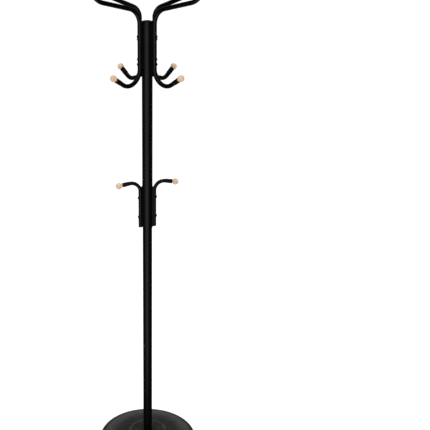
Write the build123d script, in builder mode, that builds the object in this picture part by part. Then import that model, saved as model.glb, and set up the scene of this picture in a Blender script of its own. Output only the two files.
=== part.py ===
"""Standing coat rack: a two-piece steel pole on a weighted round base, four bent hook tubes at
the top and two small hooks lower down, each ending in a turned wooden ball.

Millimetres. The origin is the centre of the base at floor level, +Z is up, +X is the right
hand side and the front is towards -Y.
"""

from math import cos, radians, sin, sqrt, tan
import os

from build123d import *

# ---------------------------------------------------------------- driving dimensions
TOTAL_HEIGHT = 1778.0
CLEARANCE = 0.05

# base
BASE_RADIUS = 185.0
FOOT_RADIUS, FOOT_HEIGHT, FOOT_CIRCLE = 12.0, 3.0, 146.0
SHEET = 1.2
RIM_TOP = 20.0
RIM_ROUND = 6.0
PLATEAU_RADIUS = 66.0
PLATEAU_HEIGHT = 46.0
STEP_RADIUS = 72.0
STEP_FOOT = 42.5
DOME_MIDDLE = (125.0, 34.2)
WEIGHT_RADIUS, WEIGHT_THICKNESS = 145.0, 14.0
WEIGHT_POCKET_RADIUS, WEIGHT_POCKET_DEPTH = 17.0, 9.0
PLATE_HOLE_RADIUS = 24.0
SPACER_RADIUS, SPACER_WALL = 15.0, 2.5

# bolt that holds pole, cover and weight together
BOLT_RADIUS, BOLT_HOLE_RADIUS = 5.0, 5.2
BOLT_HEAD_ACROSS_FLATS, BOLT_HEAD_HEIGHT = 16.0, 6.4
BOLT_TOP = 64.0
WASHER_RADIUS, WASHER_THICKNESS = 15.0, 2.0
FOOT_PLUG_HEIGHT = 22.0

# pole
UPPER_POLE_RADIUS = 18.0
POLE_WALL = 1.2
SLIP_GAP = 0.1
LOWER_POLE_RADIUS = UPPER_POLE_RADIUS - POLE_WALL - SLIP_GAP
POLE_JOINT = 900.0
LOWER_POLE_TOP = 990.0
STOP_RING_HEIGHT, STOP_RING_BORE = 8.0, 14.0
UPPER_POLE_TOP = 1614.0
CAP_DOME, CAP_EDGE, CAP_SKIRT = 5.0, 1.6, 16.0

# upper hook tubes
TUBE_RADIUS = 7.5
TUBE_WALL = 1.2
TUBE_CIRCLE = 26.5
TUBE_ANGLE = 24.0
ARM_BEARING = {"front": 40.0, "rear": 36.0}
ARM_CORNER_HEIGHT = {"front": 1649.0, "rear": 1652.5}
ARM_CORNER_ROUND = {"front": 55.0, "rear": 34.0}
ARM_SLOPE = 14.1
ARM_REACH = 182.0
ARM_TIP_ROUND = {"front": 64.0, "rear": 57.0}
ARM_TIP_SLOPE = 75.0
HOOK_BEARING = {"front": 45.0, "rear": 55.0}
HOOK_CORNER_HEIGHT = {"front": 1438.5, "rear": 1433.0}
HOOK_CORNER_ROUND = {"front": 50.0, "rear": 32.0}
HOOK_LOW_REACH = {"front": 48.0, "rear": 59.0}
HOOK_LOW_HEIGHT = {"front": 1402.5, "rear": 1416.5}
HOOK_LOW_ROUND = {"front": 48.0, "rear": 45.0}
HOOK_TIP_SLOPE = {"front": 32.8, "rear": 29.6}
HOOK_TIP_LENGTH = {"front": 84.2, "rear": 65.0}

# lower hook tubes
LOWER_TUBE_RADIUS = 6.5
LOWER_TUBE_CIRCLE = 25.5
LOWER_BEARING = 14.4
LOWER_TUBE_BOTTOM = 904.0
LOWER_TOP_HEIGHT = 1066.7
LOWER_REACH = 38.0
LOWER_CORNER_ROUND, LOWER_DROOP_ROUND = 32.2, 30.0
LOWER_DROOP, LOWER_TIP_LENGTH = 9.7, 37.9
END_PLUG_HEAD, END_PLUG_SHANK = 2.0, 12.0

# saddles between tubes and pole
UPPER_SADDLE_RADIUS, UPPER_SADDLE_HALF_ANGLE = 22.5, 42.0
UPPER_SADDLE_BOTTOM, UPPER_SADDLE_TOP = 1436.0, 1604.0
LOWER_SADDLE_RADIUS, LOWER_SADDLE_HALF_ANGLE = 22.0, 33.0
LOWER_SADDLE_BOTTOM, LOWER_SADDLE_TOP = 902.0, 1051.0
UPPER_SADDLE_BEVEL, LOWER_SADDLE_BEVEL = 1.0, 3.0

# knobs and ferrules
BALL_RADIUS = 11.0
NECK_RADIUS, NECK_LENGTH = 5.6, 5.0
BALL_CENTRE = NECK_LENGTH + sqrt(BALL_RADIUS**2 - NECK_RADIUS**2)
SPIGOT_LENGTH = 20.0
FERRULE_LENGTH, FERRULE_LIP = 22.0, 2.0
FERRULE_THIN, FERRULE_THICK = 0.5, 1.0
FERRULE_ROUND = 0.4

# screws and threaded inserts
SCREW_RADIUS, SCREW_HOLE_RADIUS = 2.5, 2.75
SCREW_HEAD_RADIUS, SCREW_HEAD_HEIGHT = 4.75, 2.6
SCREW_END = 9.0
SOCKET_ACROSS_FLATS, SOCKET_DEPTH = 3.0, 1.5
INSERT_FLANGE_RADIUS, INSERT_FLANGE = 4.8, 0.8
INSERT_BODY_RADIUS, INSERT_BORE_RADIUS = 3.5, 2.55
INSERT_BULGE_RADIUS, INSERT_BULGE_LENGTH = 4.5, 3.0
INSERT_LENGTH = 12.5
INSERT_HOLE_RADIUS = 3.6
SADDLE_HOLE_RADIUS = 5.2
UPPER_SCREWS = {"front": (1478.0, 1568.0), "rear": (1490.0, 1556.0)}
LOWER_SCREWS = (940.0, 1011.0)

SIDES = {"right": 0.0, "left": 180.0}
ROWS = ("front", "rear")

os.makedirs("parts", exist_ok=True)
pieces = []


# ---------------------------------------------------------------- helpers
def keep(part, name):
    """Label a finished piece and write it to its own file."""
    part.label = name
    export_step(part, f"parts/{name}.step")
    pieces.append(part)


def bearing(side, row, angle):
    """Direction in plan of something that lies `angle` degrees in front of or behind a side."""
    mirror = 1 if side == "right" else -1
    turn = -1 if row == "front" else 1
    return SIDES[side] + mirror * turn * angle


def outward(angle):
    """Level unit vector at a bearing in degrees from +X."""
    return Vector(cos(radians(angle)), sin(radians(angle)), 0)


def turned_plane(base, direction):
    """Plane that holds an axis: its origin on the axis, its Y along the axis."""
    across = direction.cross(Vector(0, 0, 1)).normalized()
    return Plane(origin=base, x_dir=across, z_dir=across.cross(direction))


def radial_plane(angle, height, distance=0.0):
    """Plane that faces out of the pole at a bearing, height and distance from its axis."""
    away = outward(angle)
    return Plane(origin=away * distance + Vector(0, 0, height), x_dir=(0, 0, 1), z_dir=away)


def dome_arc(rim_radius, rim_height, top_height):
    """Profile of a shallow spherical top, from its rim to the axis it is turned about."""
    rise = top_height - rim_height
    sphere = (rim_radius**2 + rise**2) / (2 * rise)
    half_way = rim_radius / 2
    half_height = top_height - sphere + sqrt(sphere**2 - half_way**2)
    return ThreePointArc((rim_radius, rim_height), (half_way, half_height), (0, top_height))


def bent_tube(route_points, rounds, outer, hole_angle, hole_heights):
    """Steel tube along straight runs with round bends, drilled for its fixing screws."""
    with BuildPart() as tube:
        with BuildLine() as route:
            FilletPolyline(*route_points, radius=rounds)
        with BuildSketch(Plane(origin=route.line @ 0, z_dir=route.line % 0)):
            Circle(outer)
            Circle(outer - TUBE_WALL, mode=Mode.SUBTRACT)
        sweep(path=route.line)
        for height in hole_heights:
            with BuildSketch(radial_plane(hole_angle, height, UPPER_POLE_RADIUS)):
                Circle(SCREW_HOLE_RADIUS)
            extrude(amount=3 * outer, mode=Mode.SUBTRACT)
    return tube.part


def saddle(side_angle, tube_angles, tube_radius, tube_circle, outer, half_angle, span, bevel, holes):
    """Block that hugs the pole inside and cradles the hook tubes outside."""
    inner = UPPER_POLE_RADIUS + CLEARANCE
    bottom, top = span
    start = outward(side_angle - half_angle)
    with BuildPart() as block:
        with BuildSketch(Plane(origin=(0, 0, 0), x_dir=start, z_dir=start.cross(Vector(0, 0, 1)))):
            Polygon(
                (inner, bottom),
                (outer - bevel, bottom),
                (outer, bottom + bevel),
                (outer, top - bevel),
                (outer - bevel, top),
                (inner, top),
                align=None,
            )
        revolve(axis=Axis.Z, revolution_arc=2 * half_angle)
        for angle in tube_angles:
            with BuildSketch(Plane(origin=outward(angle) * tube_circle + Vector(0, 0, bottom))):
                Circle(tube_radius + CLEARANCE)
            extrude(amount=top - bottom, mode=Mode.SUBTRACT)
        for angle, height in holes:
            with BuildSketch(radial_plane(angle, height, UPPER_POLE_RADIUS / 2)):
                Circle(SADDLE_HOLE_RADIUS)
            extrude(amount=outer, mode=Mode.SUBTRACT)
    return block.part


def knob(tube_end, direction, tube_inner):
    """Turned wooden ball with a neck and a spigot that is glued into the tube's end."""
    plane = turned_plane(tube_end, direction)
    spigot = tube_inner - CLEARANCE
    with BuildPart() as turned:
        with BuildSketch(plane):
            with BuildLine():
                Polyline(
                    (0, BALL_CENTRE + BALL_RADIUS),
                    (0, -SPIGOT_LENGTH),
                    (spigot, -SPIGOT_LENGTH),
                    (spigot, 0),
                    (NECK_RADIUS, 0),
                    (NECK_RADIUS, NECK_LENGTH),
                )
                ThreePointArc(
                    (NECK_RADIUS, NECK_LENGTH),
                    (BALL_RADIUS, BALL_CENTRE),
                    (0, BALL_CENTRE + BALL_RADIUS),
                )
            make_face()
        revolve(axis=Axis(tube_end, direction))
    return turned.part


def ferrule(tube_end, direction, tube_outer):
    """Black socket over the tube's end, a little thicker towards its mouth."""
    plane = turned_plane(tube_end, direction)
    bore = tube_outer + CLEARANCE
    mouth = NECK_RADIUS + CLEARANCE
    with BuildPart() as socket:
        with BuildSketch(plane):
            with BuildLine():
                Polyline(
                    (bore, -FERRULE_LENGTH),
                    (bore + FERRULE_THIN, -FERRULE_LENGTH),
                    (bore + FERRULE_THICK, FERRULE_LIP),
                    (mouth, FERRULE_LIP),
                    (mouth, CLEARANCE),
                    (bore, CLEARANCE),
                    close=True,
                )
            make_face()
        revolve(axis=Axis(tube_end, direction))
        outer_rims = socket.edges().filter_by(GeomType.CIRCLE).sort_by(lambda e: e.radius)[-1:]
        fillet(outer_rims, radius=FERRULE_ROUND)
    return socket.part


def screw(angle, height, seat):
    """Button-head screw with a hexagon socket, its head seated on the outside of a tube."""
    plane = turned_plane(Vector(0, 0, height), outward(angle))
    with BuildPart() as body:
        with BuildSketch(plane):
            with BuildLine():
                Polyline(
                    (0, seat + SCREW_HEAD_HEIGHT),
                    (0, SCREW_END),
                    (SCREW_RADIUS, SCREW_END),
                    (SCREW_RADIUS, seat),
                    (SCREW_HEAD_RADIUS, seat),
                    (SCREW_HEAD_RADIUS, seat + SCREW_HEAD_HEIGHT / 4),
                )
                add(dome_arc(SCREW_HEAD_RADIUS, seat + SCREW_HEAD_HEIGHT / 4, seat + SCREW_HEAD_HEIGHT))
            make_face()
        revolve(axis=Axis(Vector(0, 0, height), outward(angle)))
        with BuildSketch(radial_plane(angle, height, seat + SCREW_HEAD_HEIGHT - SOCKET_DEPTH)):
            RegularPolygon(SOCKET_ACROSS_FLATS / 2, 6, major_radius=False)
        extrude(amount=2 * SOCKET_DEPTH, mode=Mode.SUBTRACT)
    return body.part


def threaded_insert(angle, height, wall_inside):
    """Blind insert: flange outside the pole, body through its wall, bulge behind it."""
    plane = turned_plane(Vector(0, 0, height), outward(angle))
    bulge_top = sqrt(wall_inside**2 - INSERT_BULGE_RADIUS**2) - CLEARANCE
    with BuildPart() as insert:
        with BuildSketch(plane):
            with BuildLine():
                Polyline(
                    (INSERT_BORE_RADIUS, UPPER_POLE_RADIUS + INSERT_FLANGE),
                    (INSERT_FLANGE_RADIUS, UPPER_POLE_RADIUS + INSERT_FLANGE),
                    (INSERT_FLANGE_RADIUS, UPPER_POLE_RADIUS),
                    (INSERT_BODY_RADIUS, UPPER_POLE_RADIUS),
                    (INSERT_BODY_RADIUS, bulge_top),
                    (INSERT_BULGE_RADIUS, bulge_top),
                    (INSERT_BODY_RADIUS, bulge_top - INSERT_BULGE_LENGTH),
                    (INSERT_BODY_RADIUS, UPPER_POLE_RADIUS - INSERT_LENGTH),
                    (INSERT_BORE_RADIUS, UPPER_POLE_RADIUS - INSERT_LENGTH),
                    close=True,
                )
            make_face()
        revolve(axis=Axis(Vector(0, 0, height), outward(angle)))
    return insert.part


def insert_drills(holes):
    """Round bars from the pole's axis outwards, one for each insert's hole in the pole."""
    with BuildPart() as bars:
        for angle, height in holes:
            with BuildSketch(radial_plane(angle, height)):
                Circle(INSERT_HOLE_RADIUS)
            extrude(amount=UPPER_POLE_RADIUS + 1)
    return bars.part


# ---------------------------------------------------------------- where the screws are
upper_fixings = {
    (side, row): [(bearing(side, row, TUBE_ANGLE), height) for height in UPPER_SCREWS[row]]
    for side in SIDES
    for row in ROWS
}
lower_fixings = {
    side: [(SIDES[side] + LOWER_BEARING, height) for height in LOWER_SCREWS] for side in SIDES
}
all_upper = [hole for holes in upper_fixings.values() for hole in holes]
all_lower = [hole for holes in lower_fixings.values() for hole in holes]

# ---------------------------------------------------------------- base
# Domed cover: rolled rim, slow rise to a small round step, flat seat for the pole.
with BuildPart() as base_cover:
    with BuildSketch(Plane.XZ):
        with BuildLine():
            Polyline((0, PLATEAU_HEIGHT), (0, FOOT_HEIGHT), (BASE_RADIUS, FOOT_HEIGHT))
            Line((BASE_RADIUS, FOOT_HEIGHT), (BASE_RADIUS, RIM_TOP - RIM_ROUND))
            RadiusArc(
                (BASE_RADIUS, RIM_TOP - RIM_ROUND),
                (BASE_RADIUS - RIM_ROUND, RIM_TOP),
                -RIM_ROUND,
            )
            ThreePointArc(
                (BASE_RADIUS - RIM_ROUND, RIM_TOP), DOME_MIDDLE, (STEP_RADIUS, STEP_FOOT)
            )
            Line((STEP_RADIUS, STEP_FOOT), (PLATEAU_RADIUS, PLATEAU_HEIGHT))
            Line((PLATEAU_RADIUS, PLATEAU_HEIGHT), (0, PLATEAU_HEIGHT))
        make_face()
    revolve(axis=Axis.Z)
    underside = base_cover.faces().sort_by(Axis.Z)[0]
    offset(amount=-SHEET, openings=underside)
    with BuildSketch(Plane.XY.offset(FOOT_HEIGHT)):
        Circle(BOLT_HOLE_RADIUS)
    extrude(amount=PLATEAU_HEIGHT, mode=Mode.SUBTRACT)
keep(base_cover.part, "base_cover")

# Flat plate pressed into the rim from below, with a hole to reach the bolt.
with BuildPart() as base_plate:
    with BuildSketch(Plane.XY.offset(FOOT_HEIGHT)):
        Circle(BASE_RADIUS - SHEET - 2 * CLEARANCE)
        Circle(PLATE_HOLE_RADIUS, mode=Mode.SUBTRACT)
    extrude(amount=SHEET)
keep(base_plate.part, "base_plate")

weight_bottom = FOOT_HEIGHT + SHEET
weight_top = weight_bottom + WEIGHT_THICKNESS
with BuildPart() as base_weight:
    with BuildSketch(Plane.XY.offset(weight_bottom)):
        Circle(WEIGHT_RADIUS)
    extrude(amount=WEIGHT_THICKNESS)
    chamfer(base_weight.edges().group_by(Axis.Z)[-1], length=2)
    with BuildSketch(Plane.XY.offset(weight_bottom)):
        Circle(WEIGHT_POCKET_RADIUS)
    extrude(amount=WEIGHT_POCKET_DEPTH, mode=Mode.SUBTRACT)
    with BuildSketch(Plane.XY.offset(weight_bottom)):
        Circle(BOLT_HOLE_RADIUS)
    extrude(amount=WEIGHT_THICKNESS, mode=Mode.SUBTRACT)
keep(base_weight.part, "base_weight")

# Four round pads on the plate, all four in one node.
with BuildPart() as base_feet:
    with BuildSketch(Plane.XY):
        with PolarLocations(FOOT_CIRCLE, 4, start_angle=45):
            Circle(FOOT_RADIUS)
    extrude(amount=FOOT_HEIGHT)
    chamfer(base_feet.edges().group_by(Axis.Z)[0], length=0.6)
keep(base_feet.part, "base_feet")

with BuildPart() as base_spacer:
    with BuildSketch(Plane.XY.offset(weight_top)):
        Circle(SPACER_RADIUS)
        Circle(SPACER_RADIUS - SPACER_WALL, mode=Mode.SUBTRACT)
    extrude(amount=PLATEAU_HEIGHT - SHEET - weight_top)
keep(base_spacer.part, "base_spacer")

pocket_roof = weight_bottom + WEIGHT_POCKET_DEPTH
head_top = pocket_roof - WASHER_THICKNESS
with BuildPart() as base_washer:
    with BuildSketch(Plane.XY.offset(head_top)):
        Circle(WASHER_RADIUS)
        Circle(BOLT_HOLE_RADIUS, mode=Mode.SUBTRACT)
    extrude(amount=WASHER_THICKNESS)
keep(base_washer.part, "base_washer")

with BuildPart() as base_bolt:
    with BuildSketch(Plane.XY.offset(head_top - BOLT_HEAD_HEIGHT)):
        RegularPolygon(BOLT_HEAD_ACROSS_FLATS / 2, 6, major_radius=False)
    extrude(amount=BOLT_HEAD_HEIGHT)
    with BuildSketch(Plane.XY.offset(head_top)):
        Circle(BOLT_RADIUS)
    extrude(amount=BOLT_TOP - head_top)
    chamfer(base_bolt.edges().group_by(Axis.Z)[-1], length=1)
keep(base_bolt.part, "base_bolt")

# ---------------------------------------------------------------- pole
# Threaded plug in the foot of the lower pole.
with BuildPart() as pole_foot_plug:
    with BuildSketch(Plane.XY.offset(PLATEAU_HEIGHT)):
        Circle(LOWER_POLE_RADIUS - POLE_WALL - CLEARANCE)
        Circle(BOLT_HOLE_RADIUS, mode=Mode.SUBTRACT)
    extrude(amount=FOOT_PLUG_HEIGHT)
keep(pole_foot_plug.part, "pole_foot_plug")

with BuildPart() as lower_pole:
    with BuildSketch(Plane.XY.offset(PLATEAU_HEIGHT)):
        Circle(LOWER_POLE_RADIUS)
        Circle(LOWER_POLE_RADIUS - POLE_WALL, mode=Mode.SUBTRACT)
    extrude(amount=LOWER_POLE_TOP - PLATEAU_HEIGHT)
    add(insert_drills([hole for hole in all_lower if hole[1] < LOWER_POLE_TOP]), mode=Mode.SUBTRACT)
keep(lower_pole.part, "lower_pole")

with BuildPart() as upper_pole:
    with BuildSketch(Plane.XY.offset(POLE_JOINT)):
        Circle(UPPER_POLE_RADIUS)
        Circle(UPPER_POLE_RADIUS - POLE_WALL, mode=Mode.SUBTRACT)
    extrude(amount=UPPER_POLE_TOP - POLE_JOINT)
    add(insert_drills(all_upper + all_lower), mode=Mode.SUBTRACT)
keep(upper_pole.part, "upper_pole")

# Ring inside the upper pole that the lower pole butts against.
with BuildPart() as pole_stop_ring:
    with BuildSketch(Plane.XY.offset(LOWER_POLE_TOP)):
        Circle(UPPER_POLE_RADIUS - POLE_WALL - CLEARANCE)
        Circle(STOP_RING_BORE, mode=Mode.SUBTRACT)
    extrude(amount=STOP_RING_HEIGHT)
keep(pole_stop_ring.part, "pole_stop_ring")

# Domed cap with a skirt inside the pole.
with BuildPart() as pole_cap:
    with BuildSketch(Plane.XZ):
        with BuildLine():
            skirt = UPPER_POLE_RADIUS - POLE_WALL - CLEARANCE
            Polyline(
                (0, UPPER_POLE_TOP + CAP_DOME),
                (0, UPPER_POLE_TOP - CAP_SKIRT),
                (skirt, UPPER_POLE_TOP - CAP_SKIRT),
                (skirt, UPPER_POLE_TOP),
                (UPPER_POLE_RADIUS, UPPER_POLE_TOP),
                (UPPER_POLE_RADIUS, UPPER_POLE_TOP + CAP_EDGE),
            )
            add(dome_arc(UPPER_POLE_RADIUS, UPPER_POLE_TOP + CAP_EDGE, UPPER_POLE_TOP + CAP_DOME))
        make_face()
    revolve(axis=Axis.Z)
    with BuildSketch(Plane.XY.offset(UPPER_POLE_TOP - CAP_SKIRT)):
        Circle(skirt - 2)
    extrude(amount=CAP_SKIRT - 2, mode=Mode.SUBTRACT)
keep(pole_cap.part, "pole_cap")


# ---------------------------------------------------------------- hooks
def finish_end(name, tube_end, direction, tube_outer):
    """The ferrule and the wooden ball at one end of a hook tube."""
    keep(ferrule(tube_end, direction, tube_outer), f"{name}_ferrule")
    keep(knob(tube_end, direction, tube_outer - TUBE_WALL), f"{name}_ball")


def upper_hook(side, row):
    """One tube: a swept arm that curls up at its tip, a straight run and a J hook below."""
    tube_angle = bearing(side, row, TUBE_ANGLE)
    axis_point = outward(tube_angle) * TUBE_CIRCLE
    arm_way = outward(bearing(side, row, ARM_BEARING[row]))
    hook_way = outward(bearing(side, row, HOOK_BEARING[row]))
    arm_turn_height = ARM_CORNER_HEIGHT[row] + ARM_REACH * tan(radians(ARM_SLOPE))
    arm_rise = TOTAL_HEIGHT - BALL_RADIUS - arm_turn_height
    arm_tip = arm_rise / sin(radians(ARM_TIP_SLOPE)) - BALL_CENTRE
    tip_slope = radians(HOOK_TIP_SLOPE[row])
    arm_end_way = arm_way * cos(radians(ARM_TIP_SLOPE)) + Vector(0, 0, sin(radians(ARM_TIP_SLOPE)))
    hook_end_way = hook_way * cos(tip_slope) + Vector(0, 0, sin(tip_slope))
    hook_low = axis_point + hook_way * HOOK_LOW_REACH[row] + Vector(0, 0, HOOK_LOW_HEIGHT[row])
    arm_turn = axis_point + arm_way * ARM_REACH + Vector(0, 0, arm_turn_height)
    hook_end = hook_low + hook_end_way * (HOOK_TIP_LENGTH[row] - BALL_CENTRE)
    arm_end = arm_turn + arm_end_way * arm_tip
    route = [
        hook_end,
        hook_low,
        axis_point + Vector(0, 0, HOOK_CORNER_HEIGHT[row]),
        axis_point + Vector(0, 0, ARM_CORNER_HEIGHT[row]),
        arm_turn,
        arm_end,
    ]
    rounds = [
        HOOK_LOW_ROUND[row],
        HOOK_CORNER_ROUND[row],
        ARM_CORNER_ROUND[row],
        ARM_TIP_ROUND[row],
    ]
    tube = bent_tube(route, rounds, TUBE_RADIUS, tube_angle, UPPER_SCREWS[row])
    keep(tube, f"{row}_{side}_hook_tube")
    finish_end(f"{row}_{side}_arm", arm_end, arm_end_way, TUBE_RADIUS)
    finish_end(f"{row}_{side}_hook", hook_end, hook_end_way, TUBE_RADIUS)


def lower_hook(side):
    """Small hook: a straight run on the pole, one bend outwards and a slight droop."""
    angle = SIDES[side] + LOWER_BEARING
    way = outward(angle)
    axis_point = way * LOWER_TUBE_CIRCLE
    end_way = way * cos(radians(LOWER_DROOP)) - Vector(0, 0, sin(radians(LOWER_DROOP)))
    droop_point = axis_point + way * LOWER_REACH + Vector(0, 0, LOWER_TOP_HEIGHT)
    tube_end = droop_point + end_way * (LOWER_TIP_LENGTH - BALL_CENTRE)
    route = [
        axis_point + Vector(0, 0, LOWER_TUBE_BOTTOM),
        axis_point + Vector(0, 0, LOWER_TOP_HEIGHT),
        droop_point,
        tube_end,
    ]
    rounds = [LOWER_CORNER_ROUND, LOWER_DROOP_ROUND]
    tube = bent_tube(route, rounds, LOWER_TUBE_RADIUS, angle, LOWER_SCREWS)
    keep(tube, f"lower_{side}_hook_tube")
    finish_end(f"lower_{side}_hook", tube_end, end_way, LOWER_TUBE_RADIUS)
    with BuildPart() as end_plug:
        with BuildSketch(Plane(origin=axis_point + Vector(0, 0, LOWER_TUBE_BOTTOM - END_PLUG_HEAD))):
            Circle(LOWER_TUBE_RADIUS)
        extrude(amount=END_PLUG_HEAD)
        chamfer(end_plug.edges().group_by(Axis.Z)[0], length=0.6)
        with BuildSketch(Plane(origin=axis_point + Vector(0, 0, LOWER_TUBE_BOTTOM))):
            Circle(LOWER_TUBE_RADIUS - TUBE_WALL - CLEARANCE)
        extrude(amount=END_PLUG_SHANK)
    keep(end_plug.part, f"lower_{side}_end_plug")


for side in SIDES:
    for row in ROWS:
        upper_hook(side, row)
    lower_hook(side)
    keep(
        saddle(
            SIDES[side],
            [bearing(side, row, TUBE_ANGLE) for row in ROWS],
            TUBE_RADIUS,
            TUBE_CIRCLE,
            UPPER_SADDLE_RADIUS,
            UPPER_SADDLE_HALF_ANGLE,
            (UPPER_SADDLE_BOTTOM, UPPER_SADDLE_TOP),
            UPPER_SADDLE_BEVEL,
            upper_fixings[side, "front"] + upper_fixings[side, "rear"],
        ),
        f"upper_{side}_saddle",
    )
    keep(
        saddle(
            SIDES[side] + LOWER_BEARING,
            [SIDES[side] + LOWER_BEARING],
            LOWER_TUBE_RADIUS,
            LOWER_TUBE_CIRCLE,
            LOWER_SADDLE_RADIUS,
            LOWER_SADDLE_HALF_ANGLE,
            (LOWER_SADDLE_BOTTOM, LOWER_SADDLE_TOP),
            LOWER_SADDLE_BEVEL,
            lower_fixings[side],
        ),
        f"lower_{side}_saddle",
    )

# ---------------------------------------------------------------- screws and inserts
upper_seat = TUBE_CIRCLE + TUBE_RADIUS
lower_seat = LOWER_TUBE_CIRCLE + LOWER_TUBE_RADIUS
pole_inside = UPPER_POLE_RADIUS - POLE_WALL
joint_inside = LOWER_POLE_RADIUS - POLE_WALL
keep(Compound(children=[screw(*spot, upper_seat) for spot in all_upper]), "upper_hook_screws")
keep(Compound(children=[screw(*spot, lower_seat) for spot in all_lower]), "lower_hook_screws")
keep(
    Compound(children=[threaded_insert(*spot, pole_inside) for spot in all_upper]),
    "upper_pole_inserts",
)
keep(
    Compound(
        children=[
            threaded_insert(*spot, joint_inside if spot[1] < LOWER_POLE_TOP else pole_inside)
            for spot in all_lower
        ]
    ),
    "lower_pole_inserts",
)

print(f"{len(pieces)} pieces, {TOTAL_HEIGHT:.0f} mm tall")
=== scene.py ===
"""Standing coat rack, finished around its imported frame: steel poles and bent hook tubes in black
paint, plastic ferrules and cap, turned beech balls, screws and a domed base on a pale floor.

Metres. The origin is the centre of the base on the floor, +Z is up and the front is towards -Y.
"""

from math import atan2, cos, pi, radians, sin, sqrt, tan

import bmesh
import bpy
import numpy as np
from bpy.props import FloatProperty, FloatVectorProperty, IntProperty, PointerProperty
from bpy.types import Operator, Panel, PropertyGroup
from mathutils import Matrix, Vector


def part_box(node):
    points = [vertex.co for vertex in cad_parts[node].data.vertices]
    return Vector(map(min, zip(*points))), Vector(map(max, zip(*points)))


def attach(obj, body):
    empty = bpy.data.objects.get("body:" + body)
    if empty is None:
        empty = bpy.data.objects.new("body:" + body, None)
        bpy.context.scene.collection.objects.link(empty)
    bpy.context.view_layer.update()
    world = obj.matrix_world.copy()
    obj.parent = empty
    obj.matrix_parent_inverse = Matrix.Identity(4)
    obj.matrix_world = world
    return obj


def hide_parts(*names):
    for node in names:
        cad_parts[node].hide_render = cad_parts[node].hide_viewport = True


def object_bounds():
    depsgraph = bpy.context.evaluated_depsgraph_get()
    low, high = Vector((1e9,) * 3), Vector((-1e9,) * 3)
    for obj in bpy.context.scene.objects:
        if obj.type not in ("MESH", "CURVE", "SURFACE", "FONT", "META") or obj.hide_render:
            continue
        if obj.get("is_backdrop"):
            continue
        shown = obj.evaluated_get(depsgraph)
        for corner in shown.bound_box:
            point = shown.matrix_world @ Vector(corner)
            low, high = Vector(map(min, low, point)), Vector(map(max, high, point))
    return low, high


bl_info = {
    "name": "Standing Coat Rack",
    "version": (1, 0, 0),
    "blender": (4, 5, 0),
    "location": "3D View > Sidebar > Coat Rack",
    "description": "Builds a standing coat rack with bent tube hooks and wooden balls",
    "category": "Object",
}

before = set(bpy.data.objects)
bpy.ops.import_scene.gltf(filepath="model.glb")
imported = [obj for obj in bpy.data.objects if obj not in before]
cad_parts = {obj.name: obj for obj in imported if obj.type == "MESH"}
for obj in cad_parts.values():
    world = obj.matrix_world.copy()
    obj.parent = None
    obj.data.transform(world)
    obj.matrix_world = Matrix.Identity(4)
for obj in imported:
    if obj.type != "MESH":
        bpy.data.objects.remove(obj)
CAD_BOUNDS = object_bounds()
BODY = "root"
MM = 0.001
SIDES = {"right": 1, "left": -1}
ROWS = {"front": -1, "rear": 1}

POLE_LOW, POLE_HIGH = (Vector(corner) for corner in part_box("upper_pole"))
LOWER_LOW, LOWER_HIGH = (Vector(corner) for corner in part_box("lower_pole"))
COVER_LOW, COVER_HIGH = (Vector(corner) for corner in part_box("base_cover"))
CAP_LOW, CAP_HIGH = (Vector(corner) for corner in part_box("pole_cap"))
POLE_RADIUS = (POLE_HIGH.x - POLE_LOW.x) / 2
LOWER_RADIUS = (LOWER_HIGH.x - LOWER_LOW.x) / 2
TOP = CAD_BOUNDS[1][2]
UP = np.array((0.0, 0.0, 1.0))

CLEARANCE = 0.05 * MM
CRISP_EDGE = radians(35)
MERGE_DISTANCE = 1e-6
UPPER_SCREWS = {"front": (1478 * MM, 1568 * MM), "rear": (1490 * MM, 1556 * MM)}
LOWER_SCREWS = (940 * MM, 1011 * MM)
WOOD_SEED = 11


# ---------------------------------------------------------------- settings
def length(name, description, default):
    """A length property in metres."""
    return FloatProperty(
        name=name, description=description, default=default, min=0.0, unit="LENGTH", precision=4
    )


def amount(name, description, default):
    """A plain number, 0 or more."""
    return FloatProperty(name=name, description=description, default=default, min=0.0)


def angle(name, description, degrees):
    """An angle property, its default given in degrees."""
    return FloatProperty(
        name=name, description=description, default=radians(degrees), subtype="ANGLE"
    )


def row_lengths(name, description, front, rear):
    """Two lengths in metres, one for the front row of tubes and one for the rear row."""
    return FloatVectorProperty(
        name=name, description=f"{description}, front row and rear row", default=(front, rear),
        size=2, min=0.0, unit="LENGTH", precision=4,
    )


def row_angles(name, description, front, rear):
    """Two angles, for the front and the rear row, their defaults given in degrees."""
    return FloatVectorProperty(
        name=name, description=f"{description}, front row and rear row",
        default=(radians(front), radians(rear)), size=2, unit="ROTATION",
    )


def colour(name, description, default):
    """A linear colour property."""
    return FloatVectorProperty(
        name=name, description=description, default=default, size=3, subtype="COLOR",
        min=0.0, max=1.0,
    )


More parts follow.
